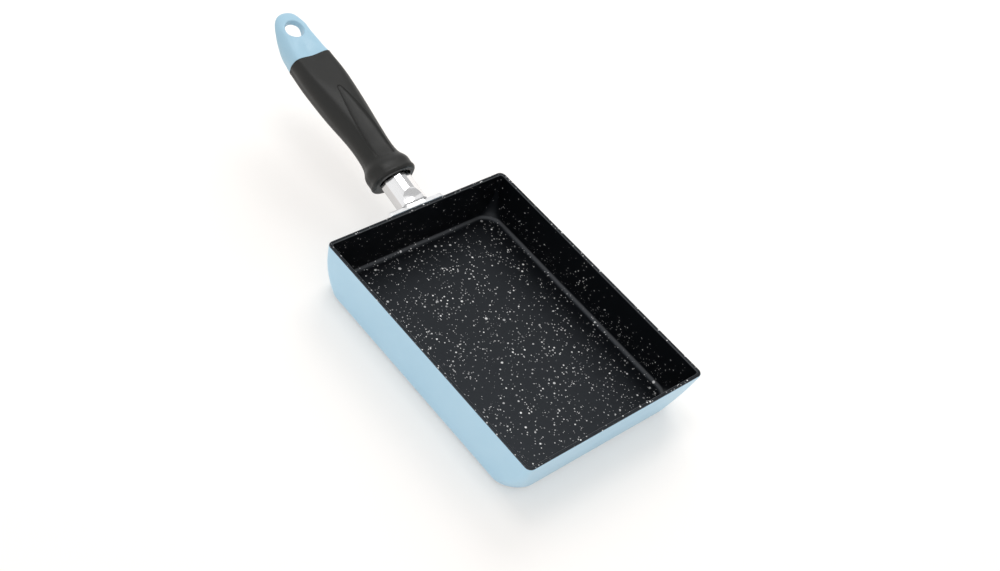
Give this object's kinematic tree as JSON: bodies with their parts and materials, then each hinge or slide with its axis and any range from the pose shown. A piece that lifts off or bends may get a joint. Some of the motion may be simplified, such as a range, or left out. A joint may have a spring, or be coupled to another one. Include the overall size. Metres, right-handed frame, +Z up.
{
  "type": "tamagoyaki pan",
  "caption": "Small rectangular frying pan for rolled omelettes: coated aluminium tray with a screwed moulded handle, metal ferrule and hanging end cap.",
  "frame": {"origin": "middle of the flat underside that the pan rests on", "axes": "+Y towards the handle, +Z up from the resting surface, +X to the right seen with the handle pointing away"},
  "size_m": [0.135, 0.3394, 0.0702],
  "materials": {
    "tray_metal": "bare pressed sheet",
    "outer_coat": "pale blue satin coat",
    "nonstick_coat": "black with fine white speckles",
    "bracket_metal": "satin",
    "ferrule_metal": "polished",
    "grip_plastic": "fine matte moulding",
    "cap_plastic": "pale blue satin moulding",
    "fastener_steel": "zinc plated"
  },
  "bodies": {
    "root": {"pan_body": "tray_metal", "outer_coating": "outer_coat", "nonstick_coating": "nonstick_coat", "handle_bracket": "bracket_metal", "weld_studs": "bracket_metal", "ferrule": "ferrule_metal", "grip": "grip_plastic", "end_cap": "cap_plastic", "tie_bolt": "fastener_steel", "spring_washer": "fastener_steel", "flat_washer": "fastener_steel"}
  },
  "joints": []
}
